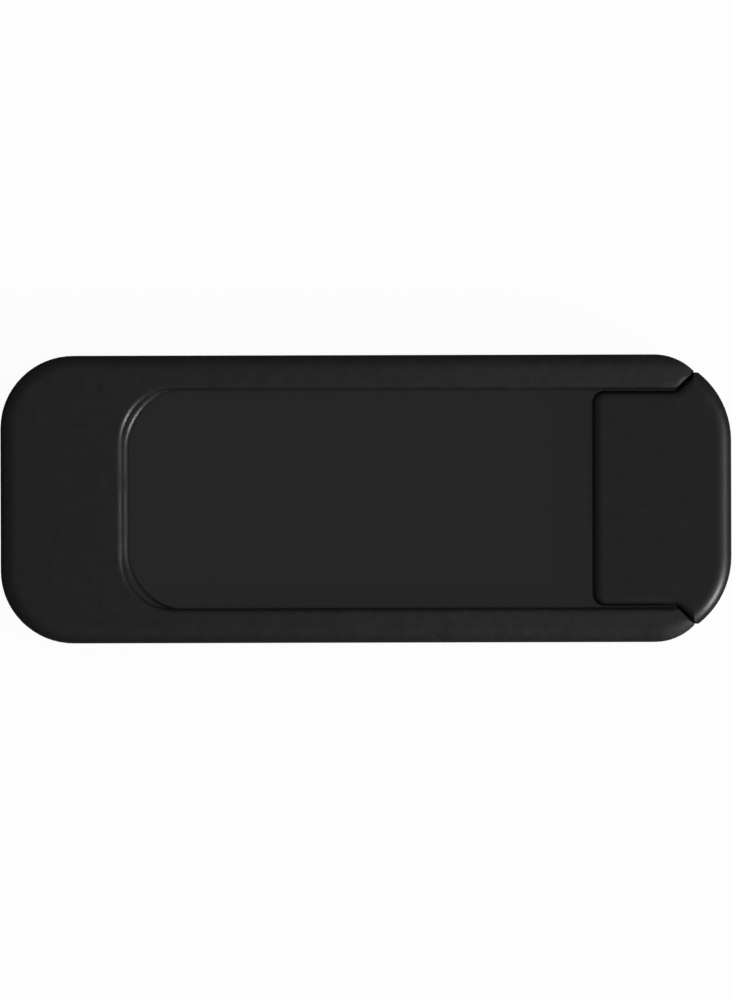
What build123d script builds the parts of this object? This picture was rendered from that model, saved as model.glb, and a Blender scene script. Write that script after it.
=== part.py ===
from build123d import *
import os

# Sliding webcam cover: a U-shaped moulded frame, the slider that runs between its rails, and
# the adhesive pad behind. Closed end at -X, grip end at +X, front face at +Z, adhesive face
# on Z = 0, slider closed. All sizes are in millimetres.

# Outline, seen from the front
cover_length = 40.0          # frame and slider together
cover_width = 15.75
closed_end_radius = 4.0      # corners at the frame's closed end
grip_end_radius = 4.7        # corners at the slider's grip end
rail_end_radius = 3.0        # outer corners at the rail ends
rail_end_setback = 1.2       # from the grip end to the end of the rails' own outline
land_length = 6.72           # plain face at the closed end
rail_width = 1.9
recess_corner_radius = 2.85
ledge_width = 0.27           # step at the land's foot, over the shutter's nose
ledge_corner_radius = 3.4
ledge_runout = 0.1           # depth in the rails at which the ledge's corners end
grip_depth = 3.0             # grip end beyond the frame's mouth
pad_length = 7.6             # raised thumb pad, grip end included

# Thicknesses, from the back to the front
adhesive_thickness = 0.25
floor_thickness = 0.5
shutter_thickness = 0.6
lip_thickness = 0.7
ledge_thickness = 0.52

# Moulded edges
outer_edge_radius = 0.88     # front edge along the outline
recess_edge_radius = 0.32    # front edge around the recess and the rail ends
ledge_edge_radius = 0.3
rail_corner_ease = 0.18      # corner into a rail's slanted end, over the front edge's radius
pad_edge_radius = 0.5        # front edge around the thumb pad and along the slanted shoulders
pad_corner_ease = 0.15       # pad's corners, over that edge's radius
flare_trim = 0.1             # cut across the tips of the flared grip end
back_edge_radius = 0.15

# Slide
travel = 11.0
tongue_depth = 0.7           # shutter's reach under the lips and under the ledge
nose_lead = 0.15             # slanted front edge of the shutter's nose
floor_lap = 0.6              # floor's reach beyond the mouth, behind the slanted rail ends
stop_height = 0.45           # stop lug's reach from the wall of its groove
stop_face_length = 0.3
stop_ramp_length = 0.5       # lead-in towards the mouth
stop_setback = 1.0           # from the frame's mouth to the lug
stop_root = 0.2              # lug's root in the walls around it

# Lens window and adhesive
window_width = 8.0
window_margin = 0.9          # window's ends from the ends of the uncovered length
window_corner_radius = 2.0
adhesive_inset = 0.9
adhesive_corner_radius = 1.0
adhesive_window_margin = 0.6

# Clearances
running_clearance = 0.05     # shutter to floor and to lip
side_clearance = 0.1
nose_clearance = 0.06
mitre_clearance = 0.08       # slanted shoulders to rail ends, along X

# Heights
frame_back = adhesive_thickness
floor_top = frame_back + floor_thickness
shutter_back = floor_top + running_clearance
shutter_face = shutter_back + shutter_thickness
lip_back = shutter_face + running_clearance
front = lip_back + lip_thickness
ledge_face = lip_back + ledge_thickness

# Positions along the slide
closed_end = -cover_length / 2
grip_end = cover_length / 2
land_edge = closed_end + land_length
ledge_edge = land_edge + ledge_width
nose = ledge_edge - tongue_depth
mouth = grip_end - grip_depth
pad_start = grip_end - pad_length
stop_end = mouth - stop_setback
stop_start = stop_end - stop_ramp_length - stop_face_length
window_start = ledge_edge + window_margin
window_end = nose + travel - window_margin

# Half widths
half_width = cover_width / 2
lip_half = half_width - rail_width
tongue_half = lip_half + tongue_depth
groove_half = tongue_half + side_clearance
pad_half = lip_half - side_clearance
window_half = window_width / 2
clear = cover_width          # overrun of cutting tools

# Corners, seen from the front
shutter_corner_radius = recess_corner_radius + tongue_depth
rail_corner_radius = recess_edge_radius + rail_corner_ease
pad_corner_radius = pad_edge_radius + pad_corner_ease


def plate(x_min, x_max, half, low_radius=0, high_radius=0):
    """Flat outline from x_min to x_max, with a corner radius of its own at each end."""
    face = Pos((x_min + x_max) / 2, 0) * Rectangle(x_max - x_min, 2 * half)
    if low_radius:
        face = fillet(face.vertices().group_by(Axis.X)[0], low_radius)
    if high_radius:
        face = fillet(face.vertices().group_by(Axis.X)[-1], high_radius)
    return face


def raised(face, z_min, z_max):
    """Outline raised between two heights."""
    return Pos(0, 0, z_min) * extrude(face, z_max - z_min)


def splay(x_start, half):
    """Outline that opens towards +X at 45 degrees, half wide on each side at x_start."""
    x_far = x_start + clear
    half_far = half + clear
    return Polygon((x_start, -half), (x_far, -half_far), (x_far, half_far), (x_start, half), align=None)


def near(face, x, y):
    """The two mirrored corners of an outline at x and plus or minus y."""
    return face.vertices().filter_by(lambda v: abs(v.X - x) < 0.001 and abs(abs(v.Y) - y) < 0.001)


def rounded_opening(layer, outline, radius):
    """Layer with an outline cut through it, and the layer's front edge rounded around the cut."""
    space = raised(outline, -clear, clear)
    cut = layer - space
    return fillet(new_edges(layer, space, combined=cut).group_by(Axis.Z)[-1], radius)


def recess():
    """Tool for the space between the rails and their slanted ends, rounded at the front."""
    outline = plate(land_edge, mouth + clear, lip_half, recess_corner_radius) + splay(mouth, lip_half)
    outline = fillet(near(outline, mouth, lip_half), rail_corner_radius)
    layer = raised(plate(closed_end, grip_end, half_width), floor_top, front)
    return layer - rounded_opening(layer, outline, recess_edge_radius)


def ledge():
    """Rounded step at the land's foot, whose corners run out into the rails."""
    run_end = ledge_edge + ledge_corner_radius
    outline = plate(ledge_edge, run_end + clear, lip_half + ledge_runout, ledge_corner_radius)
    layer = plate(land_edge - ledge_width, run_end, lip_half + rail_width / 2)
    return rounded_opening(raised(layer, floor_top, ledge_face), outline, ledge_edge_radius)


def stop_lugs():
    """Stop lug in each groove, square towards the closed end and ramped towards the mouth."""
    reach = groove_half - stop_height
    root = groove_half + stop_root
    points = [(stop_start, root), (stop_start, reach), (stop_start + stop_face_length, reach),
              (stop_end, groove_half), (stop_end, root)]
    lug = raised(Polygon(*points, align=None), floor_top - stop_root, lip_back + stop_root)
    return lug + mirror(lug, Plane.XZ)


def window(margin=0):
    """Lens window, or that outline grown by a margin."""
    return plate(window_start - margin, window_end + margin, window_half + margin,
                 window_corner_radius + margin, window_corner_radius + margin)


def moulding(x_end, end_radius):
    """Full-width body from the closed end to x_end, rounded along its outline front and back."""
    body = raised(plate(closed_end, x_end, half_width, closed_end_radius, end_radius), frame_back, front)
    body = fillet(body.edges().group_by(Axis.Z)[-1], outer_edge_radius)
    return fillet(body.edges().group_by(Axis.Z)[0], back_edge_radius)


def make_frame():
    """U-shaped frame: land and rails over an undercut groove, thin floor behind, lens window."""
    body = moulding(grip_end - rail_end_setback, rail_end_radius) - recess() + ledge()
    groove = plate(nose - nose_clearance, grip_end, groove_half, shutter_corner_radius)
    body -= raised(groove, floor_top, lip_back)
    body -= raised(splay(mouth, lip_half), floor_top, front)
    body -= raised(splay(mouth + floor_lap, lip_half), 0, floor_top)
    body -= raised(window(), 0, front)
    return body + stop_lugs()


def pad_outline():
    """Thumb pad between the rails, opening along the slanted rail ends and past the grip end."""
    shoulder = mouth + mitre_clearance - side_clearance
    face = plate(pad_start, grip_end, pad_half) + splay(shoulder, pad_half)
    face = fillet(near(face, pad_start, pad_half), pad_corner_radius)
    return fillet(near(face, shoulder, pad_half), rail_corner_radius)


def make_head():
    """Thumb pad and grip end, down to the heel that reaches behind the rail ends."""
    pad = pad_outline()
    block = raised(pad, 0, front)
    block = fillet(block.edges().group_by(Axis.Z)[-1], pad_edge_radius)
    flare = pad & plate(closed_end, grip_end, half_width, closed_end_radius, grip_end_radius)
    flare_half = max(v.Y for v in flare.vertices()) - flare_trim
    head = moulding(grip_end, grip_end_radius) & block
    head &= raised(plate(closed_end, grip_end + clear, flare_half), 0, front + clear)
    heel = splay(mouth + floor_lap + mitre_clearance, lip_half)
    return head - raised(plate(closed_end, grip_end, half_width) - heel, 0, shutter_back)


def make_slider():
    """Shutter plate with its notched tongues, and the head with the thumb pad and grip end."""
    notch = plate(stop_start - travel - nose_clearance, stop_end + nose_clearance, stop_height)
    notches = Pos(0, tongue_half) * notch + Pos(0, -tongue_half) * notch
    shutter_outline = plate(nose, mouth, tongue_half, shutter_corner_radius) - notches
    shutter = raised(shutter_outline, shutter_back, shutter_face)
    face_edges = shutter.edges().group_by(Axis.Z)[-1]
    nose_edges = face_edges.filter_by(lambda e: e.center().X < nose + shutter_corner_radius)
    return chamfer(nose_edges, nose_lead) + make_head()


def make_adhesive():
    """Die-cut tape, set in from the frame's edge and clear of the lens window."""
    outline = plate(closed_end + adhesive_inset, mouth - adhesive_inset, half_width - adhesive_inset,
                    closed_end_radius - adhesive_inset, adhesive_corner_radius)
    return raised(outline - window(adhesive_window_margin), 0, adhesive_thickness)


os.makedirs("parts", exist_ok=True)
export_step(make_frame(), "parts/slide_frame.step")
export_step(make_slider(), "parts/shutter_slider.step")
export_step(make_adhesive(), "parts/adhesive_pad.step")
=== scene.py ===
import math

import bpy
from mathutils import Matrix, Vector


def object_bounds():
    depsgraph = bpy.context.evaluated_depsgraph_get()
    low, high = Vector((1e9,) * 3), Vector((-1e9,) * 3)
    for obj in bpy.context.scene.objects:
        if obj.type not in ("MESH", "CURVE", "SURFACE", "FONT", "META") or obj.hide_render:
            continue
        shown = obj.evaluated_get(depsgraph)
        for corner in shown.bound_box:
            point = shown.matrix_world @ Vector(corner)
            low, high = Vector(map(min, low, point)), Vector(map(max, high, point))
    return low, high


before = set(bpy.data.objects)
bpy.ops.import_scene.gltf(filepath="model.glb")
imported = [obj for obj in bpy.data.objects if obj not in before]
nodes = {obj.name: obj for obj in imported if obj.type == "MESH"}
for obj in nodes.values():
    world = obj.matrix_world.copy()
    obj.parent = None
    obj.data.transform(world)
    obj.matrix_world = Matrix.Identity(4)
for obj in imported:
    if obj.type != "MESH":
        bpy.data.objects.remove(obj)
cad_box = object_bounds()

mm = 0.001
low, high = (Vector(corner) for corner in cad_box)
centre = (low + high) / 2
front = high.z

# Photograph's frame, and how the cover lies in it, in pixels and degrees
image_width = 732
image_height = 1000
cover_span = 730.9               # from the closed end to the grip end
cover_middle = (365.9, 498.9)    # from the left and from the top
cover_turn = 0.15                # anticlockwise

# Places on the cover that a finish follows, in millimetres
land_edge = -13.28               # along the slide, where the land ends and the recess begins
foot_reach = 0.32                # land's foot, to each side of that edge
foot_half = 2.4                  # straight stretch of the foot, to each side of the middle
mouth = 17.0                     # along the slide, where the rails' slanted ends begin
rail_end = 18.8
half_width = 7.875
shutter_face = 1.40              # height of the shutter's front

# Numbered sockets of a mix, whose names repeat
mix_share = 0
first_value, second_value = 2, 3
first_colour, second_colour = 6, 7
mixed_colour = 2

satin_gloss = 0.25               # pits swallow about half of the satin's reflection


def linear(code):
    """sRGB hex colour as linear RGBA."""
    parts = [int(code[i:i + 2], 16) / 255 for i in (1, 3, 5)]
    return [p / 12.92 if p <= 0.04045 else ((p + 0.055) / 1.055) ** 2.4 for p in parts] + [1.0]


def node(tree, kind, inputs=None, **settings):
    """Adds a node: settings are its own, inputs are values or the sockets that feed it."""
    made = tree.nodes.new(kind)
    for name, value in settings.items():
        setattr(made, name, value)
    for name, value in (inputs or {}).items():
        if isinstance(value, bpy.types.NodeSocket):
            tree.links.new(value, made.inputs[name])
        else:
            made.inputs[name].default_value = value
    return made


def new_material(name):
    """Empty material, its nodes and its main shader."""
    material = bpy.data.materials.new(name)
    material.use_nodes = True
    return material, material.node_tree, material.node_tree.nodes["Principled BSDF"]


def spark_eroded_abs(name, dark, light, specks=()):
    """Black ABS moulded against a spark-eroded cavity: satin black, highlights broken up by tiny pits,
    mottled where the melt cooled unevenly, and with painted light that lightens it from the closed end
    towards the mouth, the side the lamps shine from."""
    pit_spacing = 0.14 * mm      # about twice the real spacing, so that it shows
    pit_depth = 0.0022 * mm
    smoothest, roughest = 0.36, 0.44
    cloud_size = 0.6 * mm
    mottle = 1.1                 # share by which the clouds darken and lighten the black
    # Painted light: the black lightens between these two places, towards the mouth where the lamps stand
    painted_light_starts_at, painted_light_full_at = -20 * mm, 8 * mm
    speck_radius = 0.2 * mm
    abs_ior = 1.5
    material, tree, shader = new_material(name)
    place = node(tree, "ShaderNodeTexCoord").outputs["Object"]
    along = node(tree, "ShaderNodeSeparateXYZ", {"Vector": place})
    pits = node(tree, "ShaderNodeTexNoise",
                {"Vector": place, "Scale": 1 / pit_spacing, "Detail": 2.0, "Roughness": 0.6})
    clouds = node(tree, "ShaderNodeTexNoise",
                  {"Vector": place, "Scale": 1 / cloud_size, "Detail": 5.0, "Roughness": 0.85})
    # Painted light along the slide: share of the lighter colour, growing towards the lamps' side
    painted_light_share = node(tree, "ShaderNodeMapRange",
                    {"Value": along.outputs["X"], "From Min": painted_light_starts_at, "From Max": painted_light_full_at})
    tint = node(tree, "ShaderNodeMix",
                {mix_share: painted_light_share.outputs["Result"],
                 first_colour: linear(dark), second_colour: linear(light)}, data_type="RGBA")
    clouded = node(tree, "ShaderNodeMapRange",
                   {"Value": clouds.outputs["Fac"], "To Min": 1 - mottle, "To Max": 1 + mottle})
    tone = clouded.outputs["Result"]
    for x, y in specks:
        gap = node(tree, "ShaderNodeVectorMath", {0: place, 1: (x * mm, y * mm, front)}, operation="DISTANCE")
        speck = node(tree, "ShaderNodeMapRange", {"Value": gap.outputs["Value"], "From Max": speck_radius})
        specked = node(tree, "ShaderNodeMath", {0: tone, 1: speck.outputs["Result"]}, operation="MULTIPLY")
        tone = specked.outputs[0]
    # Clouds and specks, laid over the painted light of the tint
    mottle_and_painted_light = node(tree, "ShaderNodeVectorMath",
                   {0: tint.outputs[mixed_colour], "Scale": tone}, operation="SCALE")
    sheen = node(tree, "ShaderNodeMapRange",
                 {"Value": pits.outputs["Fac"], "To Min": smoothest, "To Max": roughest})
    relief = node(tree, "ShaderNodeBump", {"Height": pits.outputs["Fac"], "Distance": pit_depth})
    tree.links.new(mottle_and_painted_light.outputs["Vector"], shader.inputs["Base Color"])
    tree.links.new(sheen.outputs["Result"], shader.inputs["Roughness"])
    tree.links.new(relief.outputs["Normal"], shader.inputs["Normal"])
    shader.inputs["IOR"].default_value = abs_ior
    shader.inputs["Specular IOR Level"].default_value = satin_gloss
    return material


def coarsen(material, x_min, x_max, y_half, least, most):
    """Stretch of the frame from a part of the cavity that wore unevenly: rougher by least to most, so
    that bright lines there are soft and uneven. Its limits are in millimetres."""
    middle = ((x_min + x_max) / 2 * mm, 0, 0)
    half = ((x_max - x_min) / 2 * mm, y_half * mm, front)
    fade = 1.0 * mm
    wear_size = 1.6 * mm
    wear_starts, wear_full = 0.35, 0.65    # levels in the wear's own pattern
    tree = material.node_tree
    shader = tree.nodes["Principled BSDF"]
    satin_sheen = shader.inputs["Roughness"].links[0].from_socket
    place = node(tree, "ShaderNodeTexCoord").outputs["Object"]

    # Gap to the stretch, nought inside it
    offset = node(tree, "ShaderNodeVectorMath", {0: place, 1: middle}, operation="SUBTRACT")
    extent = node(tree, "ShaderNodeVectorMath", {0: offset.outputs[0]}, operation="ABSOLUTE")
    excess = node(tree, "ShaderNodeVectorMath", {0: extent.outputs[0], 1: half}, operation="SUBTRACT")
    beyond = node(tree, "ShaderNodeVectorMath", {0: excess.outputs[0], 1: (0, 0, 0)}, operation="MAXIMUM")
    gap = node(tree, "ShaderNodeVectorMath", {0: beyond.outputs[0]}, operation="LENGTH")

    # Wear, fading out over that gap
    wear = node(tree, "ShaderNodeTexNoise", {"Vector": place, "Scale": 1 / wear_size})
    coarse = node(tree, "ShaderNodeMapRange",
                  {"Value": wear.outputs["Fac"], "From Min": wear_starts, "From Max": wear_full,
                   "To Min": least, "To Max": most})
    extra = node(tree, "ShaderNodeMapRange",
                 {"Value": gap.outputs["Value"], "From Max": fade,
                  "To Min": coarse.outputs["Result"], "To Max": 0.0})
    sheen = node(tree, "ShaderNodeMath", {0: satin_sheen, 1: extra.outputs["Result"]}, operation="ADD")
    tree.links.new(sheen.outputs[0], shader.inputs["Roughness"])


def polish_shutter(material):
    """Shutter plate up to the frame's mouth, from a polished part of the cavity: smooth, even black
    that shows the light overhead, without pits."""
    plate_gloss = 0.41
    haze_size = 6 * mm
    clearest, haziest = 0.20, 0.24
    above_face = 0.01            # margin over the shutter's front, in millimetres
    tree = material.node_tree
    shader = tree.nodes["Principled BSDF"]
    satin_tint = shader.inputs["Base Color"].links[0].from_socket
    satin_sheen = shader.inputs["Roughness"].links[0].from_socket
    place = node(tree, "ShaderNodeTexCoord").outputs["Object"]
    along = node(tree, "ShaderNodeSeparateXYZ", {"Vector": place})

    # Share of the plate: 1 up to the mouth and below the thumb pad, 0 on the head
    inside = node(tree, "ShaderNodeMath", {0: along.outputs["X"], 1: mouth * mm}, operation="LESS_THAN")
    low_down = node(tree, "ShaderNodeMath",
                    {0: along.outputs["Z"], 1: (shutter_face + above_face) * mm}, operation="LESS_THAN")
    both = node(tree, "ShaderNodeMath", {0: inside.outputs[0], 1: low_down.outputs[0]}, operation="MULTIPLY")
    plate = both.outputs[0]
    head = node(tree, "ShaderNodeMath", {0: 1.0, 1: plate}, operation="SUBTRACT")

    haze = node(tree, "ShaderNodeTexNoise", {"Vector": place, "Scale": 1 / haze_size})
    smooth = node(tree, "ShaderNodeMapRange",
                  {"Value": haze.outputs["Fac"], "To Min": clearest, "To Max": haziest})
    tint = node(tree, "ShaderNodeMix",
                {mix_share: plate, first_colour: satin_tint, second_colour: linear("#080808")},
                data_type="RGBA")
    sheen = node(tree, "ShaderNodeMix",
                 {mix_share: plate, first_value: satin_sheen, second_value: smooth.outputs["Result"]})
    gloss = node(tree, "ShaderNodeMapRange", {"Value": plate, "To Min": satin_gloss, "To Max": plate_gloss})
    tree.links.new(tint.outputs[mixed_colour], shader.inputs["Base Color"])
    tree.links.new(sheen.outputs[0], shader.inputs["Roughness"])
    tree.links.new(gloss.outputs["Result"], shader.inputs["Specular IOR Level"])
    tree.links.new(head.outputs[0], tree.nodes["Bump"].inputs["Strength"])


def acrylic_tape(name):
    """Die-cut acrylic tape, cast on a carrier film: dark grey, slightly wavy and tacky-looking."""
    wave_size = 2.2 * mm
    wave_depth = 0.006 * mm
    tacky_sheen = 0.38
    acrylic_ior = 1.47
    material, tree, shader = new_material(name)
    place = node(tree, "ShaderNodeTexCoord").outputs["Object"]
    waves = node(tree, "ShaderNodeTexNoise", {"Vector": place, "Scale": 1 / wave_size, "Detail": 4.0})
    tint = node(tree, "ShaderNodeMix",
                {mix_share: waves.outputs["Fac"],
                 first_colour: linear("#343433"), second_colour: linear("#3e3e3d")}, data_type="RGBA")
    relief = node(tree, "ShaderNodeBump", {"Height": waves.outputs["Fac"], "Distance": wave_depth})
    tree.links.new(tint.outputs[mixed_colour], shader.inputs["Base Color"])
    tree.links.new(relief.outputs["Normal"], shader.inputs["Normal"])
    shader.inputs["Roughness"].default_value = tacky_sheen
    shader.inputs["IOR"].default_value = acrylic_ior
    return material


def white_card(name):
    """Matt white card: white where the camera sees it and in reflections from far off, with a little of the
    cover's soft shadow. To all other light it's a grey card, so that the black edges over it stay dark."""
    shaded_reach = 100 * mm      # how far the cover's own shade reaches
    white_share = 0.95           # the rest holds the shadow
    material, tree, shader = new_material(name)
    path = node(tree, "ShaderNodeLightPath")
    far = node(tree, "ShaderNodeMath",
               {0: path.outputs["Ray Length"], 1: shaded_reach}, operation="GREATER_THAN")
    gloss = node(tree, "ShaderNodeMath",
                 {0: path.outputs["Is Glossy Ray"], 1: far.outputs[0]}, operation="MULTIPLY")
    direct = node(tree, "ShaderNodeMath",
                  {0: path.outputs["Is Camera Ray"], 1: path.outputs["Is Transmission Ray"]},
                  operation="MAXIMUM")
    seen = node(tree, "ShaderNodeMath", {0: direct.outputs[0], 1: gloss.outputs[0]}, operation="MAXIMUM")
    white = node(tree, "ShaderNodeMath", {0: seen.outputs[0], 1: white_share}, operation="MULTIPLY")
    tint = node(tree, "ShaderNodeMix",
                {mix_share: seen.outputs[0],
                 first_colour: linear("#606060"), second_colour: linear("#f2f2f2")}, data_type="RGBA")
    card = node(tree, "ShaderNodeBsdfDiffuse", {"Color": tint.outputs[mixed_colour]})
    glow = node(tree, "ShaderNodeEmission", {"Color": linear("#ffffff"), "Strength": 1.0})
    mixed = node(tree, "ShaderNodeMixShader", {0: white.outputs[0], 1: card.outputs[0], 2: glow.outputs[0]})
    tree.links.new(mixed.outputs[0], tree.nodes["Material Output"].inputs["Surface"])
    tree.nodes.remove(shader)
    return material


def dress(name, material):
    """Gives a carried-over piece its finish."""
    slots = nodes[name].data.materials
    slots.clear()
    slots.append(material)


def softbox(name, azimuth, elevation, distance, width, height, glow):
    """Soft lamp aimed at the cover, with angles in degrees and lengths in metres. Its glow is the
    brightness of its face, where 1 is white."""
    data = bpy.data.lights.new(name, "AREA")
    data.shape = "RECTANGLE"
    data.size = width
    data.size_y = height
    data.energy = glow * math.pi * width * height
    lamp = bpy.data.objects.new(name, data)
    bpy.context.scene.collection.objects.link(lamp)
    turn, rise = math.radians(azimuth), math.radians(elevation)
    way = Vector((math.cos(rise) * math.cos(turn), math.cos(rise) * math.sin(turn), math.sin(rise)))
    lamp.location = centre + way * distance
    lamp.rotation_euler = (-way).to_track_quat("-Z", "Y").to_euler()


# Dark specks in the frame's face, in millimetres: a long one on the land and one on the lower rail
frame_specks = [(-14.48, 6.16), (-14.42, 5.96), (-11.40, -6.75)]

# Finishes of the three pieces
# Painted light: each black's second colour is where it has lightened, towards the mouth on the lamps' side
frame_black = spark_eroded_abs("spark_eroded_black_abs_frame", "#101010", "#1d1d1d", frame_specks)
slider_black = spark_eroded_abs("spark_eroded_black_abs_slider", "#101010", "#121212")
coarsen(frame_black, land_edge - foot_reach, land_edge + foot_reach, foot_half, least=0.0, most=0.34)
coarsen(frame_black, mouth, rail_end, half_width, least=0.24, most=0.44)
polish_shutter(slider_black)
dress("slide_frame", frame_black)
dress("shutter_slider", slider_black)
dress("adhesive_pad", acrylic_tape("dark_grey_acrylic_tape"))

# Camera: straight down, with a long lens, framed as the photograph is
view_distance = 200 * mm
outline_depth = 0.8 * mm         # about how far the outline lies below the front face
sensor = 36.0                    # millimetres, along the picture's height
pixel = (high.x - low.x) / cover_span
camera_data = bpy.data.cameras.new("camera")
camera_data.sensor_width = sensor
camera_data.lens = sensor * (view_distance + outline_depth) / (image_height * pixel)
camera = bpy.data.objects.new("camera", camera_data)
bpy.context.scene.collection.objects.link(camera)
target = Vector((centre.x - (cover_middle[0] - image_width / 2) * pixel,
                 centre.y + (cover_middle[1] - image_height / 2) * pixel, front))
camera.location = target + Vector((0, 0, view_distance))
camera.rotation_euler = (0, 0, -math.radians(cover_turn))
bpy.context.scene.camera = camera

# Floor: a wide pale sheet, just clear of the tape
floor_width = 6.0                # metres
floor_gap = 0.01 * mm
bpy.ops.mesh.primitive_plane_add(size=floor_width, location=(0, 0, low.z - floor_gap))
floor = bpy.context.object
floor.name = "floor"
floor.data.materials.append(white_card("matt_white_card"))

# Lamps: a small bright one and two weak ones from the grip end, and a wide dim one overhead
softbox("key_softbox", azimuth=-28, elevation=14, distance=1.0, width=0.26, height=0.16, glow=100)
softbox("low_strip", azimuth=0, elevation=20, distance=1.0, width=0.40, height=0.10, glow=10)
softbox("side_bank", azimuth=-1, elevation=29, distance=1.0, width=0.35, height=0.84, glow=1.2)
softbox("overhead_scrim", azimuth=0, elevation=78, distance=1.2, width=4.4, height=2.8, glow=0.1)

# Room: pale, lighter overhead than along its walls
wall_level, ceiling_level = 0.22, 0.44
room = bpy.data.worlds.new("studio")
bpy.context.scene.world = room
room.use_nodes = True
room_tree = room.node_tree
bearing = node(room_tree, "ShaderNodeTexCoord").outputs["Generated"]
upward = node(room_tree, "ShaderNodeSeparateXYZ", {"Vector": bearing})
level = node(room_tree, "ShaderNodeMapRange",
             {"Value": upward.outputs["Z"], "To Min": wall_level, "To Max": ceiling_level})
room_tree.links.new(level.outputs["Result"], room_tree.nodes["Background"].inputs["Strength"])
room_tree.nodes["Background"].inputs["Color"].default_value = linear("#ffffff")

bpy.context.scene.view_settings.view_transform = "Standard"
